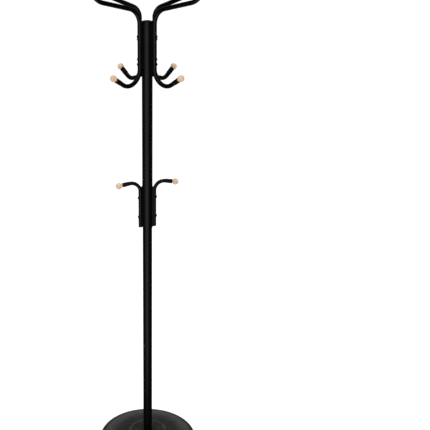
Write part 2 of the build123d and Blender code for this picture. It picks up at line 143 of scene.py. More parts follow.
class RackSizes(PropertyGroup):
    """Sizes of the rack's pieces that its frame's boxes don't give."""

    wall: length("Wall", "Wall of every steel tube", 1.2 * MM)
    sheet: length("Sheet", "Sheet metal of the base cover", 1.2 * MM)
    edge: length("Edge round", "Rounding of cut tube ends", 0.4 * MM)
    rim_round: length("Rim round", "Rounding over the rim of the base", 6 * MM)
    rim_top: length("Rim top", "Height of the rim above the floor", 20 * MM)
    dome_radius: length("Dome middle radius", "Where the dome's middle point is", 125 * MM)
    dome_height: length("Dome middle height", "Height of the dome's middle point", 34.2 * MM)
    step_radius: length("Step foot radius", "Foot of the small round step", 72 * MM)
    step_height: length("Step foot height", "Height of the step's foot", 42.5 * MM)
    plateau: length("Plateau radius", "Edge of the flat middle of the base", 66 * MM)
    bolt_hole: length("Bolt hole", "Radius of the hole for the base bolt", 5.2 * MM)
    tube: length("Tube radius", "Upper hook tubes", 7.5 * MM)
    tube_circle: length("Tube circle", "Upper tubes' distance from the pole's axis", 26.5 * MM)
    tube_angle: angle("Tube angle", "Upper tubes' angle from the side direction", 24)
    arm_bearing: row_angles("Arm bearing", "Arms' angle from the side", 40, 36)
    arm_corner: row_lengths("Arm corner", "Height where an arm leaves", 1649 * MM, 1652.5 * MM)
    arm_corner_round: row_lengths("Arm corner round", "Bend beside the pole", 55 * MM, 34 * MM)
    arm_slope: angle("Arm slope", "Rise of an arm", 14.1)
    arm_reach: length("Arm reach", "Level run of an arm to its tip's bend", 182 * MM)
    arm_tip_round: row_lengths("Arm tip round", "Bend at the arm's tip", 64 * MM, 57 * MM)
    arm_tip_slope: angle("Arm tip slope", "Rise of the arm's tip", 75)
    hook_bearing: row_angles("Hook bearing", "J hooks' angle from the side", 45, 55)
    hook_corner: row_lengths("Hook corner", "Height where a J hook leaves", 1438.5 * MM, 1433 * MM)
    hook_corner_round: row_lengths("Hook corner round", "First bend of a J hook", 50 * MM, 32 * MM)
    hook_low_reach: row_lengths("Hook low reach", "Run to the lowest corner", 48 * MM, 59 * MM)
    hook_low: row_lengths("Hook low", "Height of the lowest corner", 1402.5 * MM, 1416.5 * MM)
    hook_low_round: row_lengths("Hook low round", "Second bend of a J hook", 48 * MM, 45 * MM)
    hook_tip_slope: row_angles("Hook tip slope", "Rise of the J hook's tip", 32.8, 29.6)
    hook_tip: row_lengths("Hook tip", "Lowest corner to the ball's centre", 84.2 * MM, 65 * MM)
    lower_tube: length("Lower tube radius", "Lower hook tubes", 6.5 * MM)
    lower_circle: length("Lower tube circle", "Lower tubes' distance from the axis", 25.5 * MM)
    lower_bearing: angle("Lower bearing", "Turn of the lower hooks about the pole", 14.4)
    lower_bottom: length("Lower tube bottom", "Height of the lower tubes' cut ends", 904 * MM)
    lower_top: length("Lower hook top", "Height of the lower hooks' corner", 1066.7 * MM)
    lower_reach: length("Lower reach", "Level run to the droop", 38 * MM)
    lower_corner_round: length("Lower corner round", "Bend of the lower hooks", 32.2 * MM)
    lower_droop_round: length("Lower droop round", "Bend where the droop begins", 30 * MM)
    lower_droop: angle("Lower droop", "Fall of the lower hooks' tips", 9.7)
    lower_tip: length("Lower tip", "Droop's start to the ball's centre", 37.9 * MM)
    ball: length("Ball radius", "Turned wooden balls", 11 * MM)
    neck: length("Neck radius", "Neck of a ball", 5.6 * MM)
    neck_length: length("Neck length", "Tube's end to the ball", 5 * MM)
    spigot: length("Spigot", "Length glued into the tube", 20 * MM)
    ferrule: length("Ferrule", "Length of a ferrule over its tube", 22 * MM)
    ferrule_lip: length("Ferrule lip", "Lip beyond the tube's end", 2 * MM)
    ferrule_thin: length("Ferrule thin end", "Wall at the tube side", 0.55 * MM)
    ferrule_thick: length("Ferrule thick end", "Wall at the ball side", 1.05 * MM)
    screw_head: length("Screw head radius", "Button heads", 4.75 * MM)
    screw_height: length("Screw head height", "Button heads", 2.6 * MM)
    screw_shank: length("Screw shank radius", "Threaded shank", 2.5 * MM)
    screw_end: length("Screw end", "Shank end's distance from the pole's axis", 9 * MM)
    socket: length("Socket", "Half the hexagon's width across flats", 1.5 * MM)
    socket_depth: length("Socket depth", "Depth of the hexagon", 1.5 * MM)
    around: IntProperty(name="Segments", description="Faces around a tube", default=48, min=12)


class RackColours(PropertyGroup):
    """Linear colours of the rack's finishes."""

    paint: colour("Paint", "Satin black paint on the tubes", (0.0009, 0.0008, 0.0008))
    paint_light: colour("Paint, lighter", "Patches of the same paint", (0.0022, 0.0019, 0.0018))
    base: colour("Base paint", "Textured black on the base", (0.0060, 0.0060, 0.0062))
    # The base mixes towards this same colour for its painted highlights at the step and inside the
    # rim.
    dust_and_painted_highlight: colour("Dust", "Fine dust on level surfaces", (0.058, 0.057, 0.056))
    plastic: colour("Plastic", "Moulded black plastic", (0.0012, 0.0012, 0.0012))
    plastic_light: colour("Plastic, lighter", "Scuffed plastic", (0.0040, 0.0040, 0.0040))
    wood: colour("Beech", "Body of the wood", (0.740, 0.545, 0.385))
    wood_dark: colour("Beech, late wood", "Darker growth rings", (0.500, 0.335, 0.215))
    wood_fleck: colour("Beech, flecks", "Short dark rays in the wood", (0.330, 0.185, 0.105))
    steel: colour("Plated steel", "Zinc on bolt, washer and inserts", (0.560, 0.560, 0.580))
    iron: colour("Cast iron", "Base weight", (0.070, 0.068, 0.068))
    rust: colour("Rust bloom", "Thin bloom on the cast iron", (0.140, 0.070, 0.040))
    rubber: colour("Rubber", "Foot pads", (0.020, 0.020, 0.020))
    screw: colour("Screw", "Blackened screw heads", (0.020, 0.020, 0.021))


class RackStudio(PropertyGroup):
    """Camera, lights and floor."""

    distance: length("Camera distance", "Camera's distance in front of the pole", 2.75)
    height: length("Camera height", "Camera's height above the floor", 2.0)
    pitch: angle("Camera pitch", "Downward tilt of the camera", 21.0)
    roll: angle("Camera roll", "Slight turn of the camera about its own axis", -0.08)
    lens: amount("Lens", "Focal length in mm", 70.04)
    shift: amount("Shift", "Sideways shift of the camera", 0.1572)
    floor: colour("Floor", "Pale floor", (0.93, 0.93, 0.93))
    sky: colour("Surround", "White surround", (1.0, 1.0, 1.0))
    sky_low: amount("Low light", "Soft light from the level", 0.35)
    sky_high: amount("High light", "Soft light from above", 1.5)
    front_card: amount("Front card", "What gloss sees in front", 0.70)
    card_turn: angle("Card turn", "How far left of the camera the front card stands", 12.0)
    back_card: amount("Back card", "What gloss sees behind", 0.20)
    low_back_card: amount("Low card", "Same, below the level", 0.55)
    side_card: amount("Side card", "What gloss sees at the sides", 0.004)
    key_power: amount("Key", "Power of the key softbox", 26.0)
    fill_power: amount("Fill", "Power of the fill softbox", 12.0)
    top_power: amount("Top", "Power of the overhead softbox", 16.0)


# ---------------------------------------------------------------- surfaces
def bend_at(before, corner, after, radius):
    """A round bend: its whole turn, its first point, and start + r*(sin a * in + (1 - cos a) * n).

    The arc is a function of the turn a so far; n points from the way in to the bend's inside.
    """
    arrive = (corner - before) / np.linalg.norm(corner - before)
    leave = (after - corner) / np.linalg.norm(after - corner)
    turn = np.arccos(np.clip(arrive @ leave, -1, 1))
    inward = leave - arrive * (leave @ arrive)
    inward /= max(np.linalg.norm(inward), 1e-12)
    start = corner - arrive * radius * np.tan(turn / 2)

    def arc(sweep):
        """Points of the bend for a column of turns."""
        return start + radius * (np.sin(sweep) * arrive + (1 - np.cos(sweep)) * inward)

    return turn, start, arc


def rounded(points, rounds, steps=6):
    """A flat outline whose inner corners are arcs.

    At a corner with turn t and radius r the arc starts r*tan(t/2) before the corner and ends as
    far behind it; its points are centre + r*(cos a * u + sin a * w) for angles a from 0 to t.
    """
    points = np.asarray(points, float)
    out = [points[:1]]
    for before, corner, after, radius in zip(points, points[1:], points[2:], rounds):
        turn, _, arc = bend_at(before, corner, after, radius)
        straight = radius == 0 or turn < 1e-6
        out.append(corner[None] if straight else arc(np.linspace(0, turn, steps + 1)[:, None]))
    out.append(points[-1:])
    return np.concatenate(out)


def grid_faces(rows, columns, wrap_rows):
    """Quads of a grid of rows by columns that always closes around its columns."""
    row = np.arange(rows if wrap_rows else rows - 1)[:, None]
    column = np.arange(columns)[None]
    after_row = (row + 1) % rows
    after_column = (column + 1) % columns
    corners = (
        row * columns + column,
        row * columns + after_column,
        after_row * columns + after_column,
        after_row * columns + column,
    )
    return np.stack([corner.ravel() for corner in corners], axis=1)


def build_mesh(name, grids):
    """A mesh from closed grids of points, shape (rows, columns, 3), with merged poles.

    Each grid is (points, wrap_rows). Faces are turned outwards, and edges sharper than 35 degrees
    stay crisp.
    """
    points, faces, offset = [], [], 0
    for grid, wrap_rows in grids:
        rows, columns = grid.shape[:2]
        points.append(grid.reshape(-1, 3))
        faces.append(grid_faces(rows, columns, wrap_rows) + offset)
        offset += rows * columns
    mesh = bpy.data.meshes.new(name)
    mesh.from_pydata(np.concatenate(points), [], np.concatenate(faces).tolist())
    tidy = bmesh.new()
    tidy.from_mesh(mesh)
    bmesh.ops.remove_doubles(tidy, verts=tidy.verts, dist=MERGE_DISTANCE)
    bmesh.ops.dissolve_degenerate(tidy, edges=tidy.edges, dist=MERGE_DISTANCE)
    bmesh.ops.recalc_face_normals(tidy, faces=tidy.faces)
    tidy.to_mesh(mesh)
    tidy.free()
    mesh.shade_smooth()
    mesh.set_sharp_from_angle(angle=CRISP_EDGE)
    return mesh


def frame_around(axis):
    """Two unit vectors square to an axis and to each other."""
    axis = np.asarray(axis, float)
    helper = UP if abs(axis[2]) < 0.9 else np.array((1.0, 0.0, 0.0))
    first = np.cross(helper, axis)
    first /= np.linalg.norm(first)
    return first, np.cross(axis, first)


def turned(base, axis, profile, around):
    """Surface of revolution: base + h*axis + r*(cos v * e1 + sin v * e2) for profile (r, h).

    r may be an array over the turn v, which makes a socket that isn't round.
    """
    axis = np.asarray(axis, float)
    first, second = frame_around(axis)
    turn = np.arange(around) * 2 * pi / around
    ring = np.cos(turn)[:, None] * first + np.sin(turn)[:, None] * second
    radii = np.stack([np.broadcast_to(radius, around) for radius, _ in profile])
    heights = np.array([height for _, height in profile], float)
    return np.asarray(base, float) + heights[:, None, None] * axis + radii[:, :, None] * ring


def carried(route, sides, bend, radius, around, flatten=0.03):
    """Round section carried along a route: C(s) + r*(a*cos v * N + b*sin v * B).

    B is the route's side vector, N lies in the plane of the bend, and in a bend the section is
    flattened a little in N and spread in B, as bent tube is.
    """
    tangent = np.gradient(route, axis=0)
    tangent /= np.linalg.norm(tangent, axis=1)[:, None]
    normal = np.cross(sides, tangent)
    normal /= np.linalg.norm(normal, axis=1)[:, None]
    turn = np.arange(around) * 2 * pi / around
    along_normal = (radius * (1 - flatten * bend))[:, None] * np.cos(turn)
    along_side = (radius * (1 + flatten / 2 * bend))[:, None] * np.sin(turn)
    return (
        route[:, None]
        + along_normal[:, :, None] * normal[:, None]
        + along_side[:, :, None] * sides[:, None]
    )


def bent_route(corners, rounds, spacing=2.5 * MM):
    """Points along straight runs with round bends, and how much each point is in a bend."""
    corners = np.asarray(corners, float)
    route, bend = [corners[:1]], [np.zeros(1)]
    for before, corner, after, radius in zip(corners, corners[1:], corners[2:], rounds):
        turn, start, arc = bend_at(before, corner, after, radius)
        add_run(route, bend, start, spacing)
        count = max(6, int(radius * turn / spacing))
        sweep = np.linspace(0, turn, count + 1)[1:, None]
        route.append(arc(sweep))
        bend.append(np.sin(pi * sweep[:, 0] / turn) ** 0.5)
    add_run(route, bend, corners[-1], spacing)
    return np.concatenate(route), np.nan_to_num(np.concatenate(bend))


def add_run(route, bend, end, spacing):
    """A straight run from the route's last point to an end, its points further apart."""
    start = route[-1][-1]
    count = max(2, int(np.linalg.norm(end - start) / (4 * spacing)))
    share = np.linspace(0, 1, count + 1)[1:, None]
    route.append(start + share * (end - start))
    bend.append(np.zeros(count))


# ---------------------------------------------------------------- putting pieces in the scene
def add_piece(name, mesh, node, slot, slack=1.5 * MM):
    """An object for a mesh that stands for a CAD node; its box is compared with the node's."""
    piece = bpy.data.objects.new(name, mesh)
    bpy.context.scene.collection.objects.link(piece)
    mesh.materials.append(finish(slot))
    corners = np.empty(len(mesh.vertices) * 3)
    mesh.vertices.foreach_get("co", corners)
    corners = corners.reshape(-1, 3)
    low, high = (np.array(corner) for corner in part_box(node))
    gap = max(np.abs(corners.min(0) - low).max(), np.abs(corners.max(0) - high).max())
    if gap > slack:
        raise RuntimeError(f"{name} is {gap / MM:.2f} mm off its node {node}")
    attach(piece, BODY)
    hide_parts(node)
    return piece


def dress(node, slot):
    """A finish for a CAD node that keeps its own mesh."""
    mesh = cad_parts[node].data
    mesh.materials.clear()
    mesh.materials.append(finish(slot))


def write_attribute(mesh, name, values):
    """A vector for every vertex, which a material reads by name."""
    attribute = mesh.attributes.new(name, "FLOAT_VECTOR", "POINT")
    attribute.data.foreach_set("vector", np.ascontiguousarray(values, np.float32).ravel())


# ---------------------------------------------------------------- materials
class Nodes:
    """Short way to lay out a material's nodes."""

    def __init__(self, name):
        """A material with an empty tree, a Principled shader and an output."""
        self.material = bpy.data.materials.get(name) or bpy.data.materials.new(name)
        self.material.use_nodes = True
        self.tree = self.material.node_tree
        self.tree.nodes.clear()
        self.shader = self.add("ShaderNodeBsdfPrincipled")
        output = self.add("ShaderNodeOutputMaterial")
        self.link(self.shader.outputs["BSDF"], output.inputs["Surface"])

    def add(self, kind, **values):
        """A node; keyword values go to its sockets by name, or to its own settings."""
        node = self.tree.nodes.new(kind)
        for key, value in values.items():
            if hasattr(node, key):
                setattr(node, key, value)
                continue
            self.feed(value, node.inputs[key.replace("_", " ").title()])
        return node

    def feed(self, value, socket):
        """A link or a fixed value for a socket; a colour of three gets its alpha."""
        if isinstance(value, bpy.types.NodeSocket):
            self.link(value, socket)
        elif socket.type == "RGBA" and len(value) == 3:
            socket.default_value = (*value, 1.0)
        else:
            socket.default_value = value

    def link(self, source, target):
        """A link from an output to an input."""
        self.tree.links.new(source, target)

    def set(self, **values):
        """Values or links for the Principled shader's sockets."""
        for key, value in values.items():
            self.feed(value, self.shader.inputs[key.replace("_", " ")])

    def place(self):
        """Object coordinates, in metres."""
        return self.add("ShaderNodeTexCoord").outputs["Object"]

    def stretched(self, vector, scale):
        """Coordinates scaled by a vector."""
        mapping = self.add("ShaderNodeMapping")
        self.link(vector, mapping.inputs["Vector"])
        mapping.inputs["Scale"].default_value = scale
        return mapping.outputs["Vector"]

    def noise(self, vector, scale, detail=3.0, roughness=0.5):
        """Noise, 0 to 1."""
        node = self.add("ShaderNodeTexNoise", scale=scale, detail=detail, roughness=roughness)
        self.link(vector, node.inputs["Vector"])
        return node.outputs["Fac"]

    def range(self, value, low, high, out_low, out_high):
        """A value's range mapped to another, clamped."""
        node = self.add("ShaderNodeMapRange")
        self.link(value, node.inputs["Value"])
        for socket, number in zip(("From Min", "From Max", "To Min", "To Max"),
                                  (low, high, out_low, out_high)):
            node.inputs[socket].default_value = number
        return node.outputs["Result"]

    def maths(self, operation, first, second=0.0):
        """A Math node on links or numbers."""
        node = self.add("ShaderNodeMath", operation=operation)
        for socket, value in zip(node.inputs, (first, second)):
            self.feed(value, socket)
        return node.outputs["Value"]

    def vectors(self, operation, first, second=None):
        """A Vector Math node's output: a number for LENGTH and DOT_PRODUCT, else a vector."""
        node = self.add("ShaderNodeVectorMath", operation=operation)
        self.link(first, node.inputs[0])
        if second is not None:
            node.inputs[1].default_value = second
        return node.outputs["Value" if operation in ("LENGTH", "DOT_PRODUCT") else "Vector"]

    def mix(self, factor, first, second):
        """A colour mixed between two, each a link or a colour."""
        node = self.add("ShaderNodeMix", data_type="RGBA")
        self.link(factor, node.inputs["Factor"])
        self.feed(first, node.inputs[6])
        self.feed(second, node.inputs[7])
        return node.outputs[2]

    def bump(self, height, strength, distance, under=None):
        """A bump of a height field, on top of another bump."""
        node = self.add("ShaderNodeBump")
        self.link(height, node.inputs["Height"])
        node.inputs["Strength"].default_value = strength
        node.inputs["Distance"].default_value = distance
        if under is not None:
            self.link(under, node.inputs["Normal"])
        return node.outputs["Normal"]

    def facing_up(self):
        """How much the surface faces up, 0 to 1."""
        normal = self.add("ShaderNodeSeparateXYZ")
        self.link(self.add("ShaderNodeNewGeometry").outputs["Normal"], normal.inputs[0])
        return self.range(normal.outputs["Z"], 0.55, 1.0, 0.0, 1.0)


def paint(name, colours):
    """Satin black paint: fine orange peel, soft patches, a trace of dust on what faces up."""
    n = Nodes(name)
    place = n.place()
    patches = n.range(n.noise(place, 14.0, 4.0, 0.6), 0.35, 0.7, 0.0, 1.0)
    body = n.mix(patches, colours.paint, colours.paint_light)
    grains = n.range(n.noise(place, 700.0, 2.0, 0.7), 0.55, 0.75, 0.0, 1.0)
    # On the tubes this is real dust on what faces up; the base uses the same colour for painted
    # highlights.
    dust_and_painted_highlight = n.maths("MULTIPLY", n.maths("MULTIPLY", grains, n.facing_up()), 0.22)
    smudge = n.range(n.noise(place, 38.0, 5.0, 0.65), 0.3, 0.75, 0.24, 0.36)
    peel = n.bump(n.noise(place, 420.0, 2.0, 0.4), 0.16, 0.25 * MM)
    n.set(
        Base_Color=n.mix(dust_and_painted_highlight, body, colours.dust_and_painted_highlight),
        Roughness=smudge,
        Normal=n.bump(n.noise(place, 2200.0, 2.0, 0.5), 0.10, 0.05 * MM, peel),
        IOR=1.46,
    )
    return n.material


def base_finish(name, colours):
    """Textured black on the base: wrinkles, soft mottling, a painted highlight as a lighter ring at
    the step and a painted highlight as a lighter band inside the rim.
    """
    n = Nodes(name)
    place = n.place()
    wrinkle = n.add("ShaderNodeTexVoronoi", feature="SMOOTH_F1", scale=330.0)
    n.link(place, wrinkle.inputs["Vector"])
    broad = n.noise(place, 22.0, 5.0, 0.62)
    mottle = n.range(n.noise(place, 100.0, 2.0, 0.5), 0.40, 0.60, 0.0, 1.0)
    speck = n.range(n.noise(place, 520.0, 3.0, 0.75), 0.35, 0.60, 0.4, 1.0)
    radius = n.vectors("LENGTH", n.stretched(place, (1.0, 1.0, 0.0)))
    step_middle, slope_foot, slope_full = 68.5 * MM, 108 * MM, 156 * MM
    rim_full, rim_clear = 165 * MM, 173 * MM
    # Painted highlight: a lighter ring where the base steps up to its plateau.
    from_step = n.maths("ABSOLUTE", n.maths("SUBTRACT", radius, step_middle))
    step = n.range(from_step, 1.5 * MM, 7.0 * MM, 0.65, 0.0)
    # Painted highlight: a lighter band over the dome's outer slope that ends just inside the rim.
    slope = n.range(radius, slope_foot, slope_full, 0.0, 0.85)
    rim = n.range(radius, rim_full, rim_clear, 1.0, 0.0)
    # Both painted highlights together; the mottling adds random lighter patches and the specks
    # break them up.
    painted_step_and_rim_highlight = n.maths("ADD", step, n.maths("MULTIPLY", slope, rim))
    cover = n.maths("ADD", painted_step_and_rim_highlight, n.maths("MULTIPLY", mottle, 0.34))
    dust_and_painted_highlight = n.maths("MULTIPLY", cover, speck)
    low = n.bump(wrinkle.outputs["Distance"], 0.20, 0.35 * MM)
    waves = n.bump(mottle, 0.30, 0.5 * MM, low)
    n.set(
        Base_Color=n.mix(dust_and_painted_highlight, colours.base, colours.dust_and_painted_highlight),
        Roughness=n.range(broad, 0.3, 0.7, 0.32, 0.44),
        Normal=n.bump(n.noise(place, 1500.0, 3.0, 0.6), 0.15, 0.10 * MM, waves),
        IOR=1.5,
    )
    return n.material


def plastic(name, colours):
    """Moulded black plastic: spark-eroded grain, slightly scuffed."""
    n = Nodes(name)
    place = n.place()
    scuff = n.range(n.noise(place, 90.0, 6.0, 0.7), 0.5, 0.78, 0.0, 0.8)
    grain = n.noise(place, 1700.0, 4.0, 0.65)
    n.set(
        Base_Color=n.mix(scuff, colours.plastic, colours.plastic_light),
        Roughness=n.range(grain, 0.3, 0.7, 0.42, 0.58),
        Normal=n.bump(grain, 0.20, 0.06 * MM),
        IOR=1.46,
    )
    return n.material


def beech(name, colours):
    """Turned beech: cloudy figure, growth rings, short dark flecks and faint lathe marks.

    It reads the ball's own coordinates, whose Z is the axis the ball was turned about.
    """
    n = Nodes(name)
    own = n.add("ShaderNodeAttribute", attribute_name="turning").outputs["Vector"]
    warp = n.noise(n.stretched(own, (60.0, 60.0, 14.0)), 1.0, 3.0, 0.5)
    rings = n.add("ShaderNodeTexWave", wave_type="RINGS", rings_direction="Z", scale=75.0)
    rings.inputs["Distortion"].default_value = 2.4
    rings.inputs["Detail"].default_value = 2.0
    n.link(n.stretched(own, (1.0, 1.0, 0.12)), rings.inputs["Vector"])
    late = n.maths("MULTIPLY", n.range(rings.outputs["Fac"], 0.45, 1.0, 0.0, 1.0), warp)
    figure = n.range(n.noise(n.stretched(own, (190.0, 190.0, 70.0)), 1.0, 2.0, 0.5),
                     0.40, 0.62, 0.0, 0.75)
    body = n.mix(late, n.mix(figure, colours.wood, colours.wood_dark), colours.wood_dark)
    fibre = n.noise(n.stretched(own, (1900.0, 1900.0, 170.0)), 1.0, 2.0, 0.5)
    fleck = n.range(n.noise(n.stretched(own, (700.0, 2200.0, 260.0)), 1.0, 2.0, 0.4),
                    0.63, 0.70, 0.0, 0.75)
    toned = n.mix(n.range(fibre, 0.35, 0.75, 0.0, 0.45), body, colours.wood_dark)
    axis = n.add("ShaderNodeSeparateXYZ")
    n.link(own, axis.inputs[0])
    groove_pitch = 0.45 * MM
    lathe = n.maths("SINE", n.maths("MULTIPLY", axis.outputs["Z"], 2 * pi / groove_pitch))
    grooves = n.bump(lathe, 0.05, 0.02 * MM)
    n.set(
        Base_Color=n.mix(fleck, toned, colours.wood_fleck),
        Roughness=n.range(fibre, 0.3, 0.7, 0.34, 0.50),
        Normal=n.bump(fibre, 0.10, 0.06 * MM, grooves),
        Coat_Weight=0.12,
        Coat_Roughness=0.22,
        Subsurface_Weight=0.03,
        Subsurface_Scale=1 * MM,
    )
    return n.material


def metal(name, tone, rough, scratch, stretch=(400.0, 400.0, 4000.0)):
    """Plated or blackened steel with fine drawn lines."""
    n = Nodes(name)
    place = n.place()
    lines = n.noise(n.stretched(place, stretch), 1.0, 2.0, 0.5)
    cloud = n.noise(place, 60.0, 4.0, 0.6)
    darker = tuple(0.72 * channel for channel in tone)
    n.set(
        Base_Color=n.mix(n.range(cloud, 0.35, 0.65, 0.0, 1.0), tone, darker),
        Metallic=1.0,
        Roughness=n.range(lines, 0.3, 0.7, rough - 0.06, rough + 0.08),
        Normal=n.bump(lines, scratch, 0.03 * MM),
    )
    return n.material


def plated(name, colours):
    """Bright zinc plating."""
    return metal(name, tuple(colours.steel), 0.32, 0.12)


def blackened(name, colours):
    """Blackened steel of the screw heads."""
    return metal(name, tuple(colours.screw), 0.36, 0.06)


def iron(name, colours):
    """Cast iron with a sandy skin and a thin bloom of rust."""
    n = Nodes(name)
    place = n.place()
    skin = n.noise(place, 600.0, 5.0, 0.7)
    bloom = n.range(n.noise(place, 25.0, 5.0, 0.65), 0.5, 0.7, 0.0, 0.8)
    n.set(
        Base_Color=n.mix(bloom, colours.iron, colours.rust),
        Metallic=0.4,
        Roughness=n.range(skin, 0.3, 0.7, 0.62, 0.82),
        Normal=n.bump(skin, 0.5, 0.4 * MM),
    )
    return n.material


def rubber(name, colours):
    """Matte rubber with a fine moulded grain."""
    n = Nodes(name)
    place = n.place()
    grain = n.noise(place, 1200.0, 3.0, 0.6)
    worn = tuple(2.2 * channel for channel in colours.rubber)
    n.set(
        Base_Color=n.mix(n.range(n.noise(place, 80.0, 4.0, 0.6), 0.4, 0.7, 0.0, 1.0),
                         colours.rubber, worn),
        Roughness=n.range(grain, 0.3, 0.7, 0.72, 0.88),
        Normal=n.bump(grain, 0.25, 0.1 * MM),
    )
    return n.material


def finish(slot):
    """The finish of one of the record's material slots, made once."""
    colours = bpy.context.scene.rack_colours
    name, maker = {
        "black_paint": ("satin_black_paint", paint),
        "base_paint": ("textured_base_paint", base_finish),
        "black_plastic": ("grained_black_plastic", plastic),
        "beech_wood": ("turned_beech", beech),
        "plated_steel": ("zinc_plated_steel", plated),
        "black_screws": ("blackened_steel", blackened),
        "cast_iron": ("sandy_cast_iron", iron),
        "rubber": ("moulded_rubber", rubber),
    }[slot]
    return bpy.data.materials.get(name) or maker(name, colours)


# ---------------------------------------------------------------- where things are
def level(bearing):
    """Level unit vector at a bearing in radians from +X."""
    return np.array((cos(bearing), sin(bearing), 0.0))


def bearing_of(side, row, turn):
    """Bearing of something that lies a turn in front of or behind the right or left side."""
    away = SIDES[side]
    return atan2(ROWS[row] * sin(turn), away * cos(turn))


def ball_distance(s):
    """From a tube's end to the centre of its ball."""
    return s.neck_length + sqrt(s.ball**2 - s.neck**2)


def upper_route(s, side, row):
    """Corners, bend radii, plan directions and both ends of one upper hook tube."""
    at = list(ROWS).index(row)
    stand = level(bearing_of(side, row, s.tube_angle)) * s.tube_circle
    arm_way = level(bearing_of(side, row, s.arm_bearing[at]))
    hook_way = level(bearing_of(side, row, s.hook_bearing[at]))
    arm_bend = s.arm_corner[at] + s.arm_reach * tan(s.arm_slope)
    arm_out = arm_way * cos(s.arm_tip_slope) + UP * sin(s.arm_tip_slope)
    hook_out = hook_way * cos(s.hook_tip_slope[at]) + UP * sin(s.hook_tip_slope[at])
    arm_run = (TOP - s.ball - arm_bend) / sin(s.arm_tip_slope) - ball_distance(s)
    low_corner = stand + hook_way * s.hook_low_reach[at] + UP * s.hook_low[at]
    tip_corner = stand + arm_way * s.arm_reach + UP * arm_bend
    hook_end = low_corner + hook_out * (s.hook_tip[at] - ball_distance(s))
    arm_end = tip_corner + arm_out * arm_run
    corners = [
        hook_end,
        low_corner,
        stand + UP * s.hook_corner[at],
        stand + UP * s.arm_corner[at],
        tip_corner,
        arm_end,
    ]
    bends = (s.hook_low_round, s.hook_corner_round, s.arm_corner_round, s.arm_tip_round)
    rounds = tuple(bend[at] for bend in bends)
    ends = {"arm": (arm_end, arm_out), "hook": (hook_end, hook_out)}
    return corners, rounds, (hook_way, arm_way), ends


def lower_route(s, side):
    """Corners, bend radii, plan direction and upper end of one lower hook tube."""
    way = level(s.lower_bearing) * SIDES[side]
    stand = way * s.lower_circle
    out = way * cos(s.lower_droop) - UP * sin(s.lower_droop)
    droop = stand + way * s.lower_reach + UP * s.lower_top
    end = droop + out * (s.lower_tip - ball_distance(s))
    corners = [stand + UP * s.lower_bottom, stand + UP * s.lower_top, droop, end]
    return corners, (s.lower_corner_round, s.lower_droop_round), way, (end, out)


def tube_ends(s):
    """Every tube end that carries a ball: name, end point, direction, tube radius."""
    found = []
    for side in SIDES:
        for row in ROWS:
            ends = upper_route(s, side, row)[3]
            found += [(f"{row}_{side}_{kind}", *ends[kind], s.tube) for kind in ("arm", "hook")]
        found.append((f"lower_{side}_hook", *lower_route(s, side)[3], s.lower_tube))
    return found


# ---------------------------------------------------------------- operators
class RACK_OT_base(Operator):
    """Domed base cover, and finishes for the plate, weight, feet and clamping parts under it"""

    bl_idname = "rack.base"
    bl_label = "Base"

    def execute(self, context):
        s = context.scene.rack_sizes
        rim, bottom = COVER_HIGH.x, COVER_LOW.z
        plateau = COVER_HIGH.z
        dome = self.arc((rim - s.rim_round, s.rim_top), (s.dome_radius, s.dome_height),
                        (s.step_radius, s.step_height))
        half = s.sheet / 2
        hem = [(rim - half - half * cos(a), bottom + half - half * sin(a))
               for a in np.linspace(0, pi, 9)]
        rim_arc = [(rim - s.rim_round + s.rim_round * cos(a), s.rim_top - s.rim_round
                    + s.rim_round * sin(a)) for a in np.linspace(0, pi / 2, 13)]
        step = rounded(
            [dome[-2], (s.step_radius, s.step_height), (s.plateau, plateau),
             (s.plateau / 2, plateau), (s.bolt_hole, plateau)],
            (4 * MM, 5 * MM, 0),
            steps=8,
        )
        outer = np.array([*hem, *rim_arc, *dome[1:-2], *step])
        inner = self.inside(outer[len(hem):], s.sheet)[::-1]
        profile = np.concatenate([outer, inner])
        mesh = build_mesh("base_cover_shell", [(turned((0, 0, 0), UP, profile, 256), True)])
        add_piece("base_cover_shell", mesh, "base_cover", "base_paint")
        for node, slot in (
            ("base_plate", "base_paint"),
            ("base_weight", "cast_iron"),
            ("base_feet", "rubber"),
            ("base_spacer", "plated_steel"),
            ("base_bolt", "plated_steel"),
            ("base_washer", "plated_steel"),
        ):
            dress(node, slot)
        return {"FINISHED"}

    @staticmethod
    def arc(start, middle, end, count=40):
        """Points of the circle through three points, from the first to the last."""
        (ax, ay), (bx, by), (cx, cy) = start, middle, end
        d = 2 * (ax * (by - cy) + bx * (cy - ay) + cx * (ay - by))
        a, b, c = ax**2 + ay**2, bx**2 + by**2, cx**2 + cy**2
        x = (a * (by - cy) + b * (cy - ay) + c * (ay - by)) / d
        y = (a * (cx - bx) + b * (ax - cx) + c * (bx - ax)) / d
        turn = np.linspace(atan2(ay - y, ax - x), atan2(cy - y, cx - x), count)
        radius = np.hypot(ax - x, ay - y)
        return np.stack([x + radius * np.cos(turn), y + radius * np.sin(turn)], axis=1)

    @staticmethod
    def inside(outline, thickness):
        """The outline moved inwards by the sheet's thickness, square to itself."""
        along = np.gradient(outline, axis=0)
        along /= np.linalg.norm(along, axis=1)[:, None]
        return outline + thickness * np.stack([-along[:, 1], along[:, 0]], axis=1)


